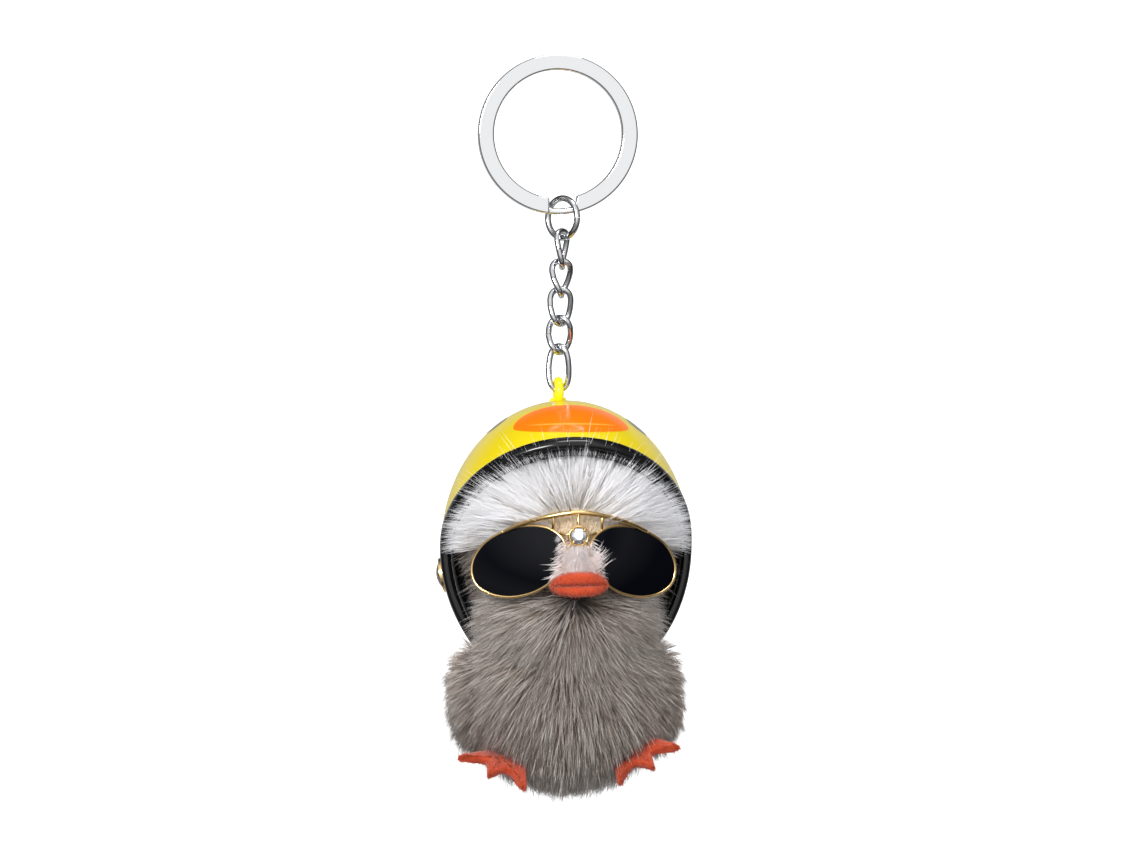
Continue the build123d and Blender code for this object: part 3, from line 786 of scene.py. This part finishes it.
def brow_pad():
    """Beige pad behind the brow bar, which fills the gap between the lens tops."""
    rows, columns = 20, 40
    x = np.linspace(-9.0, 9.0, columns)[None]
    z = np.linspace(-1.5, 6.3, rows)[:, None] - 0.022 * x**2
    y = head_front(x, z) - 3.2 + 0.02 * x**2
    front = np.stack((np.broadcast_to(x, z.shape), y, z), -1)
    back = front + (0, 3.4, 0)
    points = np.concatenate((front.reshape(-1, 3), back.reshape(-1, 3)))
    faces = [tuple(reversed(face)) for face in grid_faces(rows, columns)]
    size = rows * columns
    faces += [tuple(i + size for i in face) for face in grid_faces(rows, columns)]
    ring = list(range(columns)) + [i * columns + columns - 1 for i in range(1, rows)]
    ring += list(range(size - 2, size - columns - 1, -1)) + [i * columns for i in range(rows - 2, 0, -1)]
    for a, b in zip(ring, ring[1:] + ring[:1]):
        faces.append((a, b, b + size, a + size))
    make_piece("brow_pad", points + DUCK, faces, beige_skin)


body_fur()
guard_fur()
chin_fur()
wing_fur()
head_fur()
wisps()
temple_fur()
nose_fur_tuft()
brow_pad()
brow_fur()

# ---------------------------------------------------------------- sunglasses
LENS_OUTLINE = (
    (0.0, 1.5), (0.6, 3.8), (2.4, 5.5), (5.2, 6.45), (9.2, 6.4), (13.0, 5.3),
    (16.4, 3.3), (18.5, 0.6), (19.0, -2.0), (18.0, -4.4), (15.4, -6.0), (11.6, -6.6),
    (7.6, -6.0), (4.4, -4.6), (1.8, -2.6), (0.4, -0.4),
)
RIM_R = 0.27
STRUT_R = 0.3
CLAW_R = 0.2
STONE_Z = 2.0
CUP_PROFILE = (
    (0.0, -24.3), (1.7, -24.3), (1.95, -24.6), (1.95, -25.3),
    (1.75, -25.5), (1.55, -25.35), (1.5, -24.9), (0.0, -24.9),
)
CLAW_PATH = ((1.85, -25.2), (1.7, -25.75), (1.3, -25.8))
# radius, y and turn (in facets) of each ring of the stone's corners
STONE_RINGS = (
    (0.78, -25.95, 0.5), (1.2, -25.75, 0.0), (1.5, -25.45, 0.5), (1.5, -25.35, 0.5), (0.7, -24.95, 0.0),
)


def smooth_loop(corners, count):
    """A closed smooth curve through a few points."""
    corners = np.asarray(corners, dtype=float)
    places = np.linspace(0, len(corners), count, endpoint=False)
    i = places.astype(int)
    t = (places - i)[:, None]
    p0, p1, p2, p3 = (corners[(i + shift) % len(corners)] for shift in (-1, 0, 1, 2))
    return catmull_rom(p0, p1, p2, p3, t)


def on_glasses(side, u, v, forward):
    """A point on one lens: u out from the bridge, v up, forward out of the lens."""
    x = BRIDGE + u * cos(WRAP) + forward * sin(WRAP)
    y = GLASSES_Y + u * sin(WRAP) - forward * cos(WRAP)
    return np.stack((side * x, y, GLASSES_Z + v), -1)


def lens(name, side):
    """A glossy domed lens in its smooth wire rim."""
    outline = smooth_loop(LENS_OUTLINE, 120)
    middle = outline.mean(0)
    rings = np.append(np.linspace(0, 0.94, 14), (0.975, 1.0))
    rows = []
    for part in rings:
        flat = middle + (outline - middle) * part
        rows.append(on_glasses(side, flat[:, 0], flat[:, 1], 0.15 + 0.75 * (1 - part**2)))
    for part in reversed(rings):
        flat = middle + (outline - middle) * part
        rows.append(on_glasses(side, flat[:, 0], flat[:, 1], -0.35 + 0.55 * (1 - part**2)))
    points = np.concatenate(rows)
    faces = grid_faces(len(rows), len(outline), close_columns=True)
    if side > 0:
        faces = [tuple(reversed(face)) for face in faces]
    piece = make_piece(f"lens_glass_{name}", points + DUCK, faces, lens_black)
    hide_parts(f"lens_{name}")
    rim = on_glasses(side, outline[:, 0], outline[:, 1], 0.05)
    forward = (side * sin(WRAP), -cos(WRAP), 0)
    return tube(f"rim_{name}", rim, RIM_R, gold, closed=True, up=forward)


def spline(points, count):
    """An open smooth curve through a few points."""
    points = np.asarray(points, dtype=float)
    ends = np.concatenate((2 * points[:1] - points[1:2], points, 2 * points[-1:] - points[-2:-1]))
    places = np.linspace(0, len(points) - 1, count)
    i = np.minimum(places.astype(int), len(points) - 2)
    t = (places - i)[:, None]
    p0, p1, p2, p3 = (ends[i + shift] for shift in range(4))
    return catmull_rom(p0, p1, p2, p3, t)


def glasses():
    """Rims, brow bar, struts, stone cup with claws, and the stone."""
    rims = [lens("left", 1), lens("right", -1)]
    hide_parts("glasses_frame")
    bar_half = ((13.4, -18.3, 2.7), (10.0, -20.4, 4.25), (5.2, -23.1, 5.6))
    bar_points = [(-x, y, z) for x, y, z in bar_half] + [(0, -24.4, 6.3)] + list(reversed(bar_half))
    bar = spline(bar_points, 90)
    thick = 0.5 - 0.15 * np.abs(np.linspace(-1, 1, 90)) ** 3
    tube("brow_bar", bar, thick, gold, up=(0, -1, 0.2))
    struts = {
        "strut_left": ((4.5, -22.8, 3.2), (4.5, -23.3, 4.4), (4.6, -23.3, 5.7)),
        "strut_right": ((-4.5, -22.8, 3.2), (-4.5, -23.3, 4.4), (-4.6, -23.3, 5.7)),
        "strut_middle": ((0, -24.9, 3.5), (0, -24.9, 4.8), (0, -24.5, 6.2)),
        "bridge_left": ((1.3, -24.9, 2.6), (2.3, -24.6, 2.2), (3.4, -23.6, 2.6)),
        "bridge_right": ((-1.3, -24.9, 2.6), (-2.3, -24.6, 2.2), (-3.4, -23.6, 2.6)),
        "nose_bar_left": ((1.2, -24.9, 1.0), (1.9, -24.6, -0.2), (2.25, -24.0, -1.6)),
        "nose_bar_right": ((-1.2, -24.9, 1.0), (-1.9, -24.6, -0.2), (-2.25, -24.0, -1.6)),
    }
    for name, points in struts.items():
        tube(name, spline(points, 16), STRUT_R, gold, up=(0, -1, 0.3))
    turns = np.linspace(0, 2 * pi, 48, endpoint=False)
    points = np.array([(r * cos(t), y, STONE_Z + r * sin(t)) for r, y in CUP_PROFILE for t in turns])
    cup_faces = grid_faces(len(CUP_PROFILE), len(turns), close_columns=True)
    make_piece("stone_cup", points + DUCK, cup_faces, gold)
    for i in range(4):
        turn = pi / 4 + i * pi / 2
        out = np.array((cos(turn), 0, sin(turn)))
        claw = [np.array((0, y, STONE_Z)) + out * r for r, y in CLAW_PATH]
        tube(f"stone_claw_{i + 1}", spline(claw, 8), CLAW_R, gold, up=(0.1, 0.3, 1))
    cut = 8
    rows = []
    for radius, y, shift in STONE_RINGS:
        for i in range(cut):
            turn = 2 * pi * (i + shift) / cut
            rows.append((radius * cos(turn), y, STONE_Z + radius * sin(turn)))
    faces = [tuple(range(cut))]
    last = len(STONE_RINGS) - 1
    for row in range(last):
        for i in range(cut):
            a = row * cut + i
            b = row * cut + (i + 1) % cut
            faces += [(a, b, b + cut), (a, b + cut, a + cut)]
    faces.append(tuple(reversed(range(last * cut, (last + 1) * cut))))
    corners = np.array(rows) + DUCK
    stone = make_piece("faceted_stone", corners, faces, stone_glass, smooth=False)
    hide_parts("rhinestone")


glasses()

# ---------------------------------------------------------------- felt beak and feet
MOUTH_Z = -7.1
BEAK_HALF = 5.05
BEAK_FUZZ = 1100


def beak_lip(name, direction, high, seed):
    """One puffy felt lip, wide at the front and curling at its ends, with loose fibres."""
    rows = 40
    columns = 36
    u = np.sin(np.linspace(-pi / 2, pi / 2, rows))
    turns = np.linspace(0, 2 * pi, columns, endpoint=False)
    wide = np.sqrt(np.maximum(0, 1 - np.abs(u) ** 2.6))
    points = []
    for part, share in zip(u, wide):
        front = -27.0 + 1.6 * part**2
        deep = 1.75 * (0.35 + 0.65 * share) * share**0.4
        tall = high / 2 * (0.25 + 0.75 * share) * share**0.35
        rise = direction * (tall + 0.05)
        y = front + deep * np.sign(np.cos(turns)) * np.abs(np.cos(turns)) ** 0.8
        puff = tall * np.sign(np.sin(turns)) * np.abs(np.sin(turns)) ** 0.75
        z = MOUTH_Z + rise + puff + 0.02 * part * BEAK_HALF
        points.append(np.stack((np.full(columns, part * BEAK_HALF), y, z), -1))
    points = np.concatenate(points)
    rng = np.random.default_rng(seed)
    points += rng.normal(0, 0.025, points.shape)
    faces = grid_faces(rows, columns, close_columns=True)
    piece = make_piece(f"{name}_felt", points + DUCK, faces, orange_felt)
    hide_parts(name)
    picks = rng.choice(len(points), BEAK_FUZZ)
    middle = np.array((0, -26.2, MOUTH_Z + direction * high / 2))
    normals = unit((points[picks] - middle) * (0.25, 1.0, 1.0))
    strands(
        f"{name}_fuzz", points[picks], normals, rng.normal(size=(BEAK_FUZZ, 3)), 0.5, 0.07,
        orange_fuzz, seed + 1, lift=(20, 70), clump=0.0, wild=0.25,
    )


FOOT_HEELS = {"left": (10.4, -5.5, -37.4), "right": (-11.2, -5.5, -38.6)}
FOOT_FUZZ = 1800


def foot(foot_name, side):
    """A webbed felt foot on the place of its CAD solid."""
    node = nodes[f"foot_{foot_name}"]
    points = np.empty(len(node.data.vertices) * 3)
    node.data.vertices.foreach_get("co", points)
    points = points.reshape(-1, 3) / MM - DUCK
    middle = points.mean(0)
    _, _, axes = np.linalg.svd(points - middle, full_matrices=False)
    up = axes[2] * np.sign(axes[2][2])
    heel = np.array(FOOT_HEELS[foot_name])
    ahead = middle - heel
    ahead = unit(ahead - (ahead @ up) * up)
    across = np.cross(up, ahead)
    heel = heel - 0.7 * ahead
    reach, spread, web = 11.0, radians(35), 7.7
    outline = [(-2.0, 0.0), (0.0, -2.2)]
    for toe in (-1, 0, 1):
        turn = toe * spread
        outline.append((reach * cos(turn) - 0.5 * cos(turn + 1.2), reach * sin(turn) - 0.5))
        outline.append((reach * cos(turn), reach * sin(turn)))
        outline.append((reach * cos(turn) - 0.5, reach * sin(turn) + 0.5))
        if toe < 1:
            outline.append((web * cos(turn + spread / 2), web * sin(turn + spread / 2)))
    outline.append((0.0, 2.2))
    loop = smooth_loop(outline, 150)
    centre = np.array((5.0, 0.0))
    rings = (0.0, 0.35, 0.7, 0.93, 1.0)
    rows = []
    section = [(part, 0.75) for part in rings[:-1]] + [(1.0, 0.35), (1.0, -0.35)]
    section += [(part, -0.75) for part in reversed(rings[:-1])]
    for part, high in section:
        flat = centre + (loop - centre) * part
        curl = 0.9 * np.sin(flat[:, 0] / reach * 2.2 + flat[:, 1] * 0.18) - 0.5
        rows.append(heel + flat[:, :1] * ahead + flat[:, 1:] * across + (high + curl)[:, None] * up)
    points = np.concatenate(rows)
    rng = np.random.default_rng(200 + side)
    points += rng.normal(0, 0.03, points.shape)
    faces = grid_faces(len(rows), len(loop), close_columns=True)
    piece = make_piece(f"foot_{foot_name}_felt", points + DUCK, faces, orange_felt)
    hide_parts(f"foot_{foot_name}")
    picks = rng.choice(len(points), FOOT_FUZZ)
    high = (points[picks] - heel) @ up
    normals = unit(np.where(high[:, None] > 0, 1, -1) * up + rng.normal(0, 0.5, (FOOT_FUZZ, 3)))
    strands(
        f"foot_{foot_name}_fuzz", points[picks], normals, rng.normal(size=(FOOT_FUZZ, 3)), 0.55, 0.07,
        orange_fuzz, 210 + side, lift=(20, 75), clump=0.0, wild=0.25,
    )


beak_lip("beak_upper", 1, 2.4, 150)
beak_lip("beak_lower", -1, 2.0, 160)
foot("left", 1)
foot("right", -1)

# ---------------------------------------------------------------- split ring
RING_EDGE = 0.42


def rounded_split_ring():
    """The split ring with its sharp edges rounded over, as stamped and plated wire has them."""
    body = bmesh.new()
    body.from_mesh(nodes["split_ring"].data)
    bmesh.ops.remove_doubles(body, verts=body.verts, dist=0.002 * MM)
    bmesh.ops.dissolve_limit(body, angle_limit=radians(0.5), verts=body.verts, edges=body.edges)
    mesh = bpy.data.meshes.new("split_ring_rounded")
    body.to_mesh(mesh)
    body.free()
    draft = bpy.data.objects.new("split_ring_draft", mesh)
    bpy.context.scene.collection.objects.link(draft)
    rounding = draft.modifiers.new("rounding", "BEVEL")
    rounding.width = RING_EDGE * MM
    rounding.segments = 4
    rounding.limit_method = "ANGLE"
    rounding.angle_limit = radians(50)
    rounding.use_clamp_overlap = False
    draft.modifiers.new("even", "WEIGHTED_NORMAL")
    mesh.polygons.foreach_set("use_smooth", np.ones(len(mesh.polygons), dtype=bool))
    shaped = draft.evaluated_get(bpy.context.evaluated_depsgraph_get())
    finished = bpy.data.meshes.new_from_object(shaped)
    bpy.data.objects.remove(draft)
    finished.materials.clear()
    finished.materials.append(chrome)
    piece = bpy.data.objects.new("split_ring_rounded", finished)
    bpy.context.scene.collection.objects.link(piece)
    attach(piece, "key_ring")
    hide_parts("split_ring")


rounded_split_ring()

# ---------------------------------------------------------------- materials on the CAD nodes
KEPT = {
    "jump_ring": chain_chrome,
    **{f"chain_link_{i}": chain_chrome for i in range(1, 6)},
    "hanging_eye": eye_paint,
    "hanging_eye_nut": chain_chrome,
    "helmet_shell": helmet_paint,
    "helmet_liner": liner_cloth,
    "rivet_cap_left": dark_rivet,
    "rivet_cap_right": dark_rivet,
    "rivet_washer_left": gold,
    "rivet_washer_right": gold,
    "rivet_back_left": dark_rivet,
    "rivet_back_right": dark_rivet,
    "head_core": stuffing,
    "body_core": stuffing,
}
for node_name, mat in KEPT.items():
    for place in nodes[node_name].material_slots:
        place.material = mat

# ---------------------------------------------------------------- camera, light and backdrop
VIEW_TURN = radians(-5.5)
VIEW_MIDDLE = Vector((2.3, 0.0, -66.8)) * MM
VIEW_REACH = 1.776
camera_data = bpy.data.cameras.new("camera")
camera_data.lens = 300
camera_data.sensor_width = 36
camera = bpy.data.objects.new("camera", camera_data)
bpy.context.scene.collection.objects.link(camera)
camera.location = VIEW_MIDDLE + Vector((sin(VIEW_TURN), -cos(VIEW_TURN), 0)) * VIEW_REACH
camera.rotation_euler = (pi / 2, 0, VIEW_TURN)
bpy.context.scene.camera = camera


def softbox(name, place, aim, size, power, color=(1, 1, 1), shows=True):
    """A rectangular area light that faces a point."""
    data = bpy.data.lights.new(name, "AREA")
    data.shape = "RECTANGLE"
    data.size, data.size_y = size
    data.energy = power
    data.color = color
    lamp = bpy.data.objects.new(name, data)
    bpy.context.scene.collection.objects.link(lamp)
    lamp.location = place
    lamp.visible_glossy = shows
    lamp.rotation_euler = (Vector(aim) - Vector(place)).to_track_quat("-Z", "Y").to_euler()


duck_place = Vector(DUCK) * MM
softbox("key", (-0.35, -0.65, 0.16), duck_place, (0.25, 0.25), 5.6)
softbox("fill", (0.55, -0.50, -0.05), duck_place, (0.2, 0.5), 2.4, (0.95, 0.97, 1.0), shows=False)
softbox("top", (0.05, -0.15, 0.5), duck_place, (0.3, 0.12), 1.0)
softbox("back", (0.35, 0.55, 0.2), duck_place, (0.3, 0.3), 3.6, shows=False)
softbox("back_fill", (-0.5, 0.45, 0.05), duck_place, (0.3, 0.4), 2.0, shows=False)


def backdrop():
    """A round pale floor below the hanging keychain, curved up into a dome, in metres."""
    floor_r, cove_r, dome_high = 2.6, 0.8, 3.0
    cove_z = 0.6
    hole_r = 0.001
    cove_steps, dome_steps = 12, 16
    profile = [(hole_r, cove_z - cove_r), (floor_r, cove_z - cove_r)]
    for i in range(1, cove_steps + 1):
        turn = i / cove_steps * pi / 2
        profile.append((floor_r + cove_r * sin(turn), cove_z - cove_r * cos(turn)))
    for i in range(1, dome_steps + 1):
        turn = i / dome_steps * pi / 2
        profile.append(((floor_r + cove_r) * cos(turn) + hole_r, cove_z + dome_high * sin(turn)))
    turns = np.linspace(0, 2 * pi, 96, endpoint=False)
    points = [(r * cos(t), r * sin(t), z) for r, z in profile for t in turns]
    mesh = bpy.data.meshes.new("backdrop")
    mesh.from_pydata(points, [], grid_faces(len(profile), len(turns), close_columns=True))
    mesh.polygons.foreach_set("use_smooth", [True] * len(mesh.polygons))
    paper = new_material(
        "white paper", (0.9, 0.9, 0.9), 0.9, Emission_Color=(1, 1, 1, 1), Emission_Strength=0.9
    )
    bump(paper, noise(paper, 60, 2), 0.02, 0.0005)
    mesh.materials.append(paper)
    sheet = bpy.data.objects.new("backdrop", mesh)
    bpy.context.scene.collection.objects.link(sheet)
    sheet.visible_glossy = False
    sheet.visible_diffuse = False


backdrop()
world = bpy.data.worlds.new("studio")
world.use_nodes = True
bpy.context.scene.world = world
sky = world.node_tree.nodes["Background"]
direction = world.node_tree.nodes.new("ShaderNodeTexCoord")
facing = world.node_tree.nodes.new("ShaderNodeVectorMath")
facing.operation = "DOT_PRODUCT"
facing.inputs[1].default_value = (-0.10, -0.86, 0.50)
bands = world.node_tree.nodes.new("ShaderNodeValToRGB")
world.node_tree.links.new(direction.outputs["Generated"], facing.inputs[0])
half_up = world.node_tree.nodes.new("ShaderNodeMath")
half_up.operation = "MULTIPLY_ADD"
half_up.inputs[1].default_value = 0.5
half_up.inputs[2].default_value = 0.5
world.node_tree.links.new(facing.outputs["Value"], half_up.inputs[0])
world.node_tree.links.new(half_up.outputs["Value"], bands.inputs["Fac"])
world.node_tree.links.new(bands.outputs["Color"], sky.inputs["Color"])
SKY_BANDS = (
    (0.0, 0.60), (0.22, 0.50), (0.36, 0.05), (0.60, 0.05),
    (0.70, 0.40), (0.76, 0.15), (0.88, 0.95), (1.0, 0.95),
)
while len(bands.color_ramp.elements) < len(SKY_BANDS):
    bands.color_ramp.elements.new(0.5)
for element, (place, level) in zip(bands.color_ramp.elements, SKY_BANDS):
    element.position = place
    element.color = (level, level, level, 1)
sky.inputs["Strength"].default_value = 1.15
bpy.context.scene.view_settings.view_transform = "Standard"
